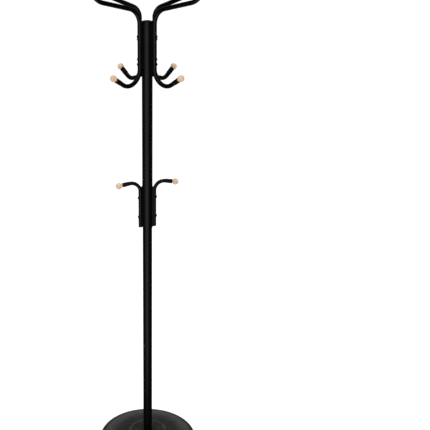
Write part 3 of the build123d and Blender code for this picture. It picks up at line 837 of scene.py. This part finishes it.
class RACK_OT_pole(Operator):
    """Upper and lower pole with rounded cut ends, the domed cap, and the pole's inner pieces"""

    bl_idname = "rack.pole"
    bl_label = "Pole"

    def execute(self, context):
        s = context.scene.rack_sizes
        for node, radius, low, high in (
            ("upper_pole", POLE_RADIUS, POLE_LOW.z, POLE_HIGH.z),
            ("lower_pole", LOWER_RADIUS, LOWER_LOW.z, LOWER_HIGH.z),
        ):
            self.tube(s, node, radius, low, high)
        self.cap(s)
        inner = ("pole_foot_plug", "pole_stop_ring", "upper_pole_inserts", "lower_pole_inserts")
        for node in inner:
            dress(node, "plated_steel")
        return {"FINISHED"}

    @staticmethod
    def tube(s, node, radius, low, high):
        """A straight tube as a closed ring profile with rounded ends, turned about the axis."""
        bore = radius - s.wall
        middle = (low + high) / 2
        heights = np.linspace(low + s.edge, high - s.edge, 24)[1:-1]
        corners = [(bore, middle), (bore, low), (radius, low), (radius, high), (bore, high),
                   (bore, middle)]
        ring = rounded(corners, (s.edge,) * 4, steps=4)
        outside = np.stack([np.full(len(heights), radius), heights], axis=1)
        split = np.flatnonzero(ring[:, 0] > radius - 1e-7)
        cut = split[np.argmax(np.diff(ring[split, 1]))] + 1
        profile = np.concatenate([ring[:cut], outside, ring[cut:-1]])
        mesh = build_mesh(f"{node}_tube", [(turned((0, 0, 0), UP, profile, 128), True)])
        add_piece(f"{node}_tube", mesh, node, "black_paint")

    @staticmethod
    def cap(s):
        """Shallow dome over a small edge, above a skirt inside the pole."""
        seat, top = POLE_HIGH.z, CAP_HIGH.z
        skirt = POLE_RADIUS - s.wall - CLEARANCE
        edge = 1.6 * MM
        rise = top - seat - edge
        sphere = (POLE_RADIUS**2 + rise**2) / (2 * rise)
        reach = np.linspace(POLE_RADIUS - 0.5 * MM, 0, 18)
        dome = np.stack([reach, top - sphere + np.sqrt(sphere**2 - reach**2)], axis=1)
        lower = rounded(
            [(0, seat - 2 * MM), (skirt - 2 * MM, seat - 2 * MM), (skirt - 2 * MM, CAP_LOW.z),
             (skirt, CAP_LOW.z), (skirt, seat), (POLE_RADIUS, seat), (POLE_RADIUS, seat + edge),
             tuple(dome[0])],
            (0.8 * MM, 0.4 * MM, 0.4 * MM, 0, 0.4 * MM, 0.5 * MM),
            steps=5,
        )
        profile = np.concatenate([lower, dome[1:]])
        mesh = build_mesh("pole_cap_dome", [(turned((0, 0, 0), UP, profile, 96), False)])
        add_piece("pole_cap_dome", mesh, "pole_cap", "black_plastic")


class RACK_OT_hook_tubes(Operator):
    """Six bent tubes: an arm and a J hook on each upper one, a single small hook on the lower"""

    bl_idname = "rack.hook_tubes"
    bl_label = "Hook tubes"

    def execute(self, context):
        s = context.scene.rack_sizes
        for side in SIDES:
            for row in ROWS:
                corners, rounds, (hook_way, arm_way), _ = upper_route(s, side, row)
                self.tube(s, f"{row}_{side}_hook_tube", corners, rounds, hook_way, arm_way, s.tube)
            corners, rounds, way, _ = lower_route(s, side)
            self.tube(s, f"lower_{side}_hook_tube", corners, rounds, way, way, s.lower_tube)
        for side in SIDES:
            dress(f"lower_{side}_end_plug", "black_plastic")
        return {"FINISHED"}

    @staticmethod
    def tube(s, node, corners, rounds, first_way, last_way, radius):
        """A hollow tube whose side vector turns from the first bend's plane to the last one's."""
        route, bend = bent_route(corners, rounds)
        first_side = np.cross(first_way, UP)
        last_side = -np.cross(last_way, UP) if first_way is not last_way else None
        if last_side is None:
            sides = np.broadcast_to(first_side, route.shape)
        else:
            if first_side @ last_side < 0:
                last_side = -last_side
            low, high = corners[2][2], corners[3][2]
            margin = 50 * MM
            share = np.clip((route[:, 2] - low - margin) / (high - low - 2 * margin), 0, 1)
            share[: len(route) // 3] = 0
            share[-len(route) // 3 :] = 1
            sides = first_side * (1 - share[:, None]) + last_side * share[:, None]
            sides /= np.linalg.norm(sides, axis=1)[:, None]
        outer = carried(route, sides, bend, radius, s.around)
        inner = carried(route, sides, bend, radius - s.wall, s.around)[::-1]
        mesh = build_mesh(f"{node}_skin", [(np.concatenate([outer, inner]), True)])
        add_piece(f"{node}_skin", mesh, node, "black_paint")


class RACK_OT_ferrules(Operator):
    """Ten black sockets, each a tapered sleeve with a bead near its mouth"""

    bl_idname = "rack.ferrules"
    bl_label = "Ferrules"

    def execute(self, context):
        s = context.scene.rack_sizes
        for name, end, way, radius in tube_ends(s):
            bore, mouth = radius + CLEARANCE, s.neck + CLEARANCE
            thin, thick = radius + s.ferrule_thin, radius + s.ferrule_thick
            bead = s.ferrule_lip - 2.6 * MM
            profile = rounded(
                [
                    (bore, -s.ferrule / 2),
                    (bore, -s.ferrule),
                    (thin, -s.ferrule),
                    (thick - 0.12 * MM, bead - 1.1 * MM),
                    (thick - 0.30 * MM, bead - 0.5 * MM),
                    (thick - 0.30 * MM, bead),
                    (thick, bead + 0.5 * MM),
                    (thick, s.ferrule_lip),
                    (mouth, s.ferrule_lip),
                    (mouth, CLEARANCE),
                    (bore, CLEARANCE),
                    (bore, -s.ferrule / 2),
                ],
                np.array((0.15, 0.3, 0.2, 0.15, 0.15, 0.2, 0.6, 0.4, 0, 0)) * MM,
                steps=4,
            )[:-1]
            mesh = build_mesh(f"{name}_ferrule_sleeve", [(turned(end, way, profile, 64), True)])
            add_piece(f"{name}_ferrule_sleeve", mesh, f"{name}_ferrule", "black_plastic")
        return {"FINISHED"}


class RACK_OT_balls(Operator):
    """Ten turned beech balls with neck and spigot, each cut from its own piece of wood"""

    bl_idname = "rack.balls"
    bl_label = "Wooden balls"

    def execute(self, context):
        s = context.scene.rack_sizes
        centre = ball_distance(s)
        flat = 1.6 * MM
        start, stop = atan2(s.neck, centre - s.neck_length), pi - atan2(flat, s.ball)
        sweep = np.linspace(start, stop, 40)
        ball = np.stack([s.ball * np.sin(sweep), centre - s.ball * np.cos(sweep)], axis=1)
        chance = np.random.default_rng(WOOD_SEED)
        for name, end, way, radius in tube_ends(s):
            spigot = radius - s.wall - CLEARANCE
            stem = rounded(
                [(0, -s.spigot), (spigot, -s.spigot), (spigot, -1 * MM), (s.neck, 0),
                 (s.neck, s.neck_length - 0.6 * MM), tuple(ball[2])],
                (0.8 * MM, 0, 0, 1.2 * MM),
                steps=5,
            )
            tip = [(flat * 0.55, ball[-1, 1] + 0.02 * MM), (0, ball[-1, 1] + 0.02 * MM)]
            profile = np.concatenate([stem, ball[3:], tip])
            mesh = build_mesh(f"{name}_ball_turned", [(turned(end, way, profile, 72), False)])
            self.own_coordinates(mesh, end, way, chance)
            add_piece(f"{name}_ball_turned", mesh, f"{name}_ball", "beech_wood")
        return {"FINISHED"}

    @staticmethod
    def own_coordinates(mesh, end, way, chance):
        """Each point's place in the wood: turned so that Z is the lathe's axis, then moved."""
        first, second = frame_around(way)
        points = np.empty(len(mesh.vertices) * 3)
        mesh.vertices.foreach_get("co", points)
        local = points.reshape(-1, 3) - end
        rotated = local @ np.stack([first, second, np.asarray(way)], axis=1)
        move = np.array((chance.uniform(8, 22) * MM, chance.uniform(-6, 6) * MM,
                         chance.uniform(0, 500) * MM))
        write_attribute(mesh, "turning", rotated + move)


class RACK_OT_saddles(Operator):
    """Finish for the four saddles between tubes and pole"""

    bl_idname = "rack.saddles"
    bl_label = "Saddles"

    def execute(self, context):
        for node in ("upper_right", "upper_left", "lower_right", "lower_left"):
            dress(f"{node}_saddle", "black_plastic")
        return {"FINISHED"}


class RACK_OT_screws(Operator):
    """Button-head screws with a hexagon socket, seated on the outside of the tubes"""

    bl_idname = "rack.screws"
    bl_label = "Screws"

    def execute(self, context):
        s = context.scene.rack_sizes
        upper = []
        for side in SIDES:
            for row, heights in UPPER_SCREWS.items():
                way = level(bearing_of(side, row, s.tube_angle))
                upper += [self.screw(s, way, height, s.tube_circle + s.tube) for height in heights]
        lower = [
            self.screw(s, level(s.lower_bearing) * SIDES[side], height,
                       s.lower_circle + s.lower_tube)
            for side in SIDES
            for height in LOWER_SCREWS
        ]
        for node, solids in (("upper_hook_screws", upper), ("lower_hook_screws", lower)):
            mesh = build_mesh(f"{node}_heads", [(solid, False) for solid in solids])
            add_piece(f"{node}_heads", mesh, node, "black_screws")
        return {"FINISHED"}

    @staticmethod
    def screw(s, way, height, seat):
        """Turned profile whose socket rows use a hexagon's radius over the turn."""
        around = 48
        turn = np.arange(around) * 2 * pi / around
        hexagon = s.socket / np.cos((turn + pi / 6) % (pi / 3) - pi / 6)
        top = seat + s.screw_height
        floor = top - s.socket_depth
        lip = s.socket * 1.3
        edge = seat + s.screw_height / 4
        rise = top - edge
        sphere = (s.screw_head**2 + rise**2) / (2 * rise)
        reach = np.linspace(lip, s.screw_head - 0.15 * MM, 9)
        dome = [(r, top - sphere + sqrt(sphere**2 - r**2)) for r in reach]
        profile = [
            (0, floor - 0.3 * MM),
            (hexagon * 0.8, floor),
            (hexagon, floor),
            (hexagon, dome[0][1] - 0.25 * MM),
            (hexagon * 0.4 + lip * 0.6, dome[0][1] - 0.05 * MM),
            *dome,
            (s.screw_head, edge - 0.15 * MM),
            (s.screw_head, seat + 0.15 * MM),
            (s.screw_head - 0.15 * MM, seat),
            (s.screw_shank, seat),
            (s.screw_shank, s.screw_end + 0.5 * MM),
            (s.screw_shank - 0.5 * MM, s.screw_end),
            (0, s.screw_end),
        ]
        return turned((0, 0, height), way, profile, around)


class RACK_OT_stage(Operator):
    """Pale floor, white surround, soft lights and the camera"""

    bl_idname = "rack.stage"
    bl_label = "Stage"

    def execute(self, context):
        scene, studio = context.scene, context.scene.rack_studio
        self.floor(scene, studio)
        self.world(scene, studio)
        aim = Vector((0, 0, TOP * 0.6))
        for name, place, size, power in (
            ("key_softbox", (-2.0, -2.6, 2.9), 1.8, studio.key_power),
            ("fill_softbox", (2.4, -2.0, 1.6), 2.0, studio.fill_power),
            ("top_softbox", (0.2, 0.4, 3.6), 1.6, studio.top_power),
        ):
            self.softbox(scene, name, Vector(place), aim, size, power)
        self.camera(scene, studio)
        scene.view_settings.view_transform = "Standard"
        scene.view_settings.look = "None"
        return {"FINISHED"}

    @staticmethod
    def floor(scene, studio):
        """A wide flat floor with rings of points that crowd towards the middle."""
        rings = np.concatenate([[0.0], np.geomspace(0.25, 40.0, 14)])
        profile = [(ring, 0.0) for ring in rings]
        grid = turned((0, 0, 0), UP, profile, 64)
        mesh = bpy.data.meshes.new("floor")
        faces = grid_faces(len(rings), 64, False)
        mesh.from_pydata(grid.reshape(-1, 3), [], faces.tolist())
        tidy = bmesh.new()
        tidy.from_mesh(mesh)
        bmesh.ops.remove_doubles(tidy, verts=tidy.verts, dist=MERGE_DISTANCE)
        bmesh.ops.dissolve_degenerate(tidy, edges=tidy.edges, dist=MERGE_DISTANCE)
        for face in tidy.faces:
            if face.normal.z < 0:
                face.normal_flip()
        tidy.to_mesh(mesh)
        tidy.free()
        floor = bpy.data.objects.new("floor", mesh)
        scene.collection.objects.link(floor)
        mesh.materials.append(RACK_OT_stage.floor_material(studio))
        floor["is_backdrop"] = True

    @staticmethod
    def studio_cards(n, direction, studio, behind):
        """Brightness that gloss sees: a card in front, a wide one behind, dark at the sides."""
        unit = n.vectors("NORMALIZE", n.vectors("MULTIPLY", direction, (1.0, 1.0, 0.0)))
        way_to_front = (-sin(studio.card_turn), -cos(studio.card_turn), 0.0)
        total = studio.side_card
        for way, narrowness, strength in (
            (way_to_front, 5.0, studio.front_card),
            ((0.0, 1.0, 0.0), 4.0, behind),
        ):
            towards = n.maths("MAXIMUM", n.vectors("DOT_PRODUCT", unit, way), 0.0)
            card = n.maths("MULTIPLY", n.maths("POWER", towards, narrowness), strength)
            total = n.maths("ADD", card, total)
        return total

    @staticmethod
    def cards_for_gloss(n, plain, cards):
        """A shader that is plain, but shows the cards to glossy rays."""
        swap = n.add("ShaderNodeMixShader")
        n.link(n.add("ShaderNodeLightPath").outputs["Is Glossy Ray"], swap.inputs[0])
        n.link(plain.outputs[0], swap.inputs[1])
        n.link(cards.outputs[0], swap.inputs[2])
        return swap.outputs[0]

    @staticmethod
    def floor_material(studio):
        """Pale matte floor with a faint unevenness; gloss on the rack sees studio cards instead."""
        n = Nodes("pale_floor")
        place = n.place()
        cloud = n.range(n.noise(place, 1.2, 4.0, 0.55), 0.3, 0.7, 0.0, 1.0)
        lighter = tuple(min(1.0, channel + 0.02) for channel in studio.floor)
        n.set(
            Base_Color=n.mix(cloud, studio.floor, lighter),
            Roughness=n.range(n.noise(place, 300.0, 3.0, 0.6), 0.3, 0.7, 0.75, 0.9),
            Normal=n.bump(n.noise(place, 250.0, 3.0, 0.6), 0.08, 0.2 * MM),
            Specular_IOR_Level=0.0,
        )
        # Painted shadow: the cards that gloss sees fade to dark towards the middle, within 0.9 m,
        # where the base stands.
        under_base, open_floor = 0.22, 0.9
        shade = n.range(n.vectors("LENGTH", place), under_base, open_floor, 0.0, 1.0)
        light = RACK_OT_stage.studio_cards(n, place, studio, studio.low_back_card)
        cards = n.add("ShaderNodeEmission")
        n.link(n.maths("MULTIPLY", light, shade), cards.inputs["Strength"])
        output = next(node for node in n.tree.nodes if node.type == "OUTPUT_MATERIAL")
        n.link(RACK_OT_stage.cards_for_gloss(n, n.shader, cards), output.inputs["Surface"])
        n.material.cycles.emission_sampling = "NONE"
        return n.material

    @staticmethod
    def world(scene, studio):
        """White for the camera, soft light brighter from above, studio cards for gloss."""
        world = bpy.data.worlds.new("studio")
        world.cycles.sampling_method = "NONE"
        world.use_nodes = True
        n = Nodes.__new__(Nodes)
        n.tree = world.node_tree
        n.tree.nodes.clear()
        white = n.add("ShaderNodeBackground")
        white.inputs["Color"].default_value = (*studio.sky, 1.0)
        direction = n.add("ShaderNodeTexCoord").outputs["Generated"]
        rise = n.add("ShaderNodeSeparateXYZ")
        n.link(direction, rise.inputs[0])
        soft = n.range(rise.outputs["Z"], 0.0, 1.0, studio.sky_low, studio.sky_high)
        seen = n.maths("MAXIMUM", soft, n.add("ShaderNodeLightPath").outputs["Is Camera Ray"])
        n.link(seen, white.inputs["Strength"])
        cards = n.add("ShaderNodeBackground")
        light = RACK_OT_stage.studio_cards(n, direction, studio, studio.back_card)
        n.link(light, cards.inputs["Strength"])
        output = n.add("ShaderNodeOutputWorld")
        n.link(RACK_OT_stage.cards_for_gloss(n, white, cards), output.inputs["Surface"])
        scene.world = world

    @staticmethod
    def softbox(scene, name, place, aim, size, power):
        """A square area light that faces a point and doesn't show in gloss."""
        light = bpy.data.lights.new(name, "AREA")
        light.size = size
        light.energy = power
        lamp = bpy.data.objects.new(name, light)
        lamp.location = place
        lamp.rotation_euler = (aim - place).to_track_quat("-Z", "Y").to_euler()
        lamp.visible_glossy = False
        scene.collection.objects.link(lamp)

    @staticmethod
    def camera(scene, studio):
        """Camera in front of the rack, a little above its top, tilted down and shifted aside."""
        data = bpy.data.cameras.new("camera")
        data.lens = studio.lens
        data.shift_x = studio.shift
        data.clip_end = 200.0
        camera = bpy.data.objects.new("camera", data)
        camera.matrix_world = Matrix.Translation((0, -studio.distance, studio.height)) @ (
            Matrix.Rotation(pi / 2 - studio.pitch, 4, "X") @ Matrix.Rotation(studio.roll, 4, "Z")
        )
        scene.collection.objects.link(camera)
        scene.camera = camera


# ---------------------------------------------------------------- panel and registration
OPERATORS = (
    RACK_OT_base,
    RACK_OT_pole,
    RACK_OT_hook_tubes,
    RACK_OT_ferrules,
    RACK_OT_balls,
    RACK_OT_saddles,
    RACK_OT_screws,
    RACK_OT_stage,
)


class RACK_PT_panel(Panel):
    """Buttons for each group of the rack's pieces"""

    bl_label = "Coat Rack"
    bl_idname = "RACK_PT_panel"
    bl_space_type = "VIEW_3D"
    bl_region_type = "UI"
    bl_category = "Coat Rack"

    def draw(self, context):
        """One button for each operator, then the main colours."""
        for operator in OPERATORS:
            self.layout.operator(operator.bl_idname)
        self.layout.prop(context.scene.rack_colours, "paint")
        self.layout.prop(context.scene.rack_colours, "wood")


GROUPS = (("rack_sizes", RackSizes), ("rack_colours", RackColours), ("rack_studio", RackStudio))


def register():
    """Registers the settings, the operators and the panel."""
    for _, group in GROUPS:
        bpy.utils.register_class(group)
    for kind in (*OPERATORS, RACK_PT_panel):
        bpy.utils.register_class(kind)
    for name, group in GROUPS:
        setattr(bpy.types.Scene, name, PointerProperty(type=group))


def unregister():
    """Removes what register added."""
    for name, _ in GROUPS:
        delattr(bpy.types.Scene, name)
    for kind in (RACK_PT_panel, *reversed(OPERATORS), *(group for _, group in reversed(GROUPS))):
        bpy.utils.unregister_class(kind)


def plain(bounds):
    """A box as lists of numbers."""
    return [[float(number) for number in corner] for corner in bounds]


def main():
    """Builds every group of pieces in order."""
    register()
    bpy.ops.rack.base()
    bpy.ops.rack.pole()
    bpy.ops.rack.hook_tubes()
    bpy.ops.rack.ferrules()
    bpy.ops.rack.balls()
    bpy.ops.rack.saddles()
    bpy.ops.rack.screws()
    bpy.ops.rack.stage()
    {"cad": plain(CAD_BOUNDS), "visual": plain(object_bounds())}


if __name__ == "__main__":
    main()
